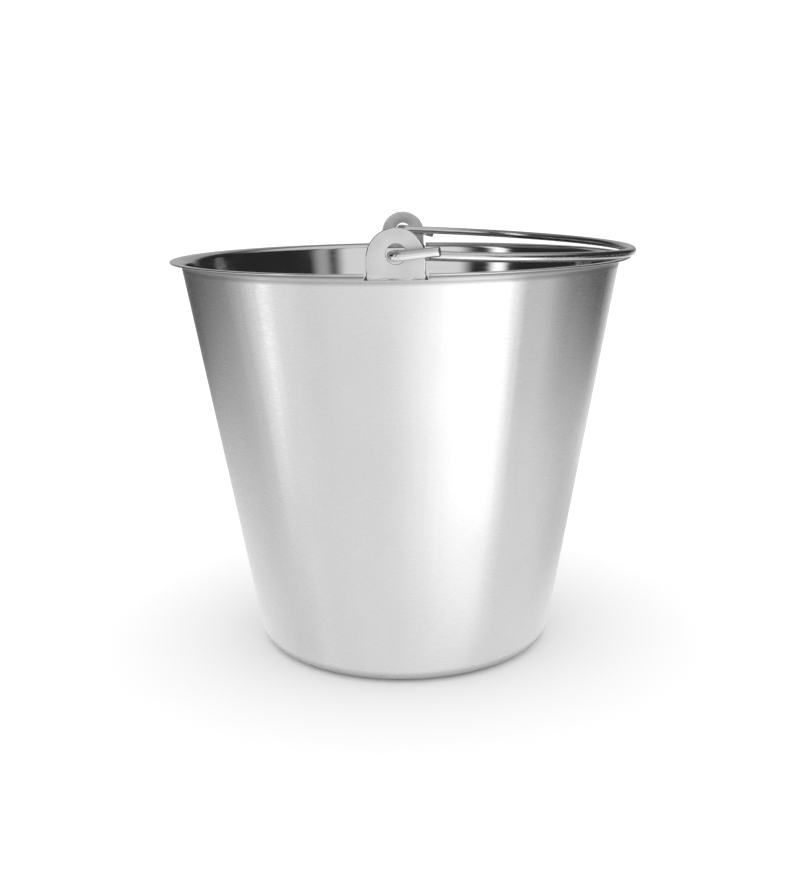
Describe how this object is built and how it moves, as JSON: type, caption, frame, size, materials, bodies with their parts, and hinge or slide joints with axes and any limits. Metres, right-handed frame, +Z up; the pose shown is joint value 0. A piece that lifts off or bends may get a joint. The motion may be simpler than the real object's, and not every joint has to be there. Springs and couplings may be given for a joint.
{
  "type": "milk pail",
  "caption": "Tapered stainless steel milk pail with a turned-out lip, upright ear plates and a hooked wire bail that swings over the rim.",
  "frame": {"origin": "centre of the base, on the surface that the pail stands on", "axes": "+Z up through the mouth, -Y to the front ear, +Y to the rear ear, +X to the side of the rim that the bail lies on"},
  "size_m": [0.3083, 0.305, 0.2897],
  "materials": {
    "brushed_shell": "satin brushed",
    "ear_plate": "matt, tumbled edges",
    "weld_metal": "ground weld",
    "bail_wire": "drawn wire, semi-bright"
  },
  "bodies": {
    "pail": {"pail_shell": "brushed_shell", "front_ear": "ear_plate", "rear_ear": "ear_plate", "front_ear_weld": "weld_metal", "rear_ear_weld": "weld_metal"},
    "bail": {"bail": "bail_wire"}
  },
  "joints": [
    {"name": "bail_swing", "type": "hinge", "parent": "pail", "child": "bail", "pos_m": [0, 0, 0.2754], "axis": [0, -1, 0], "range_deg": [0, 185.3]}
  ]
}
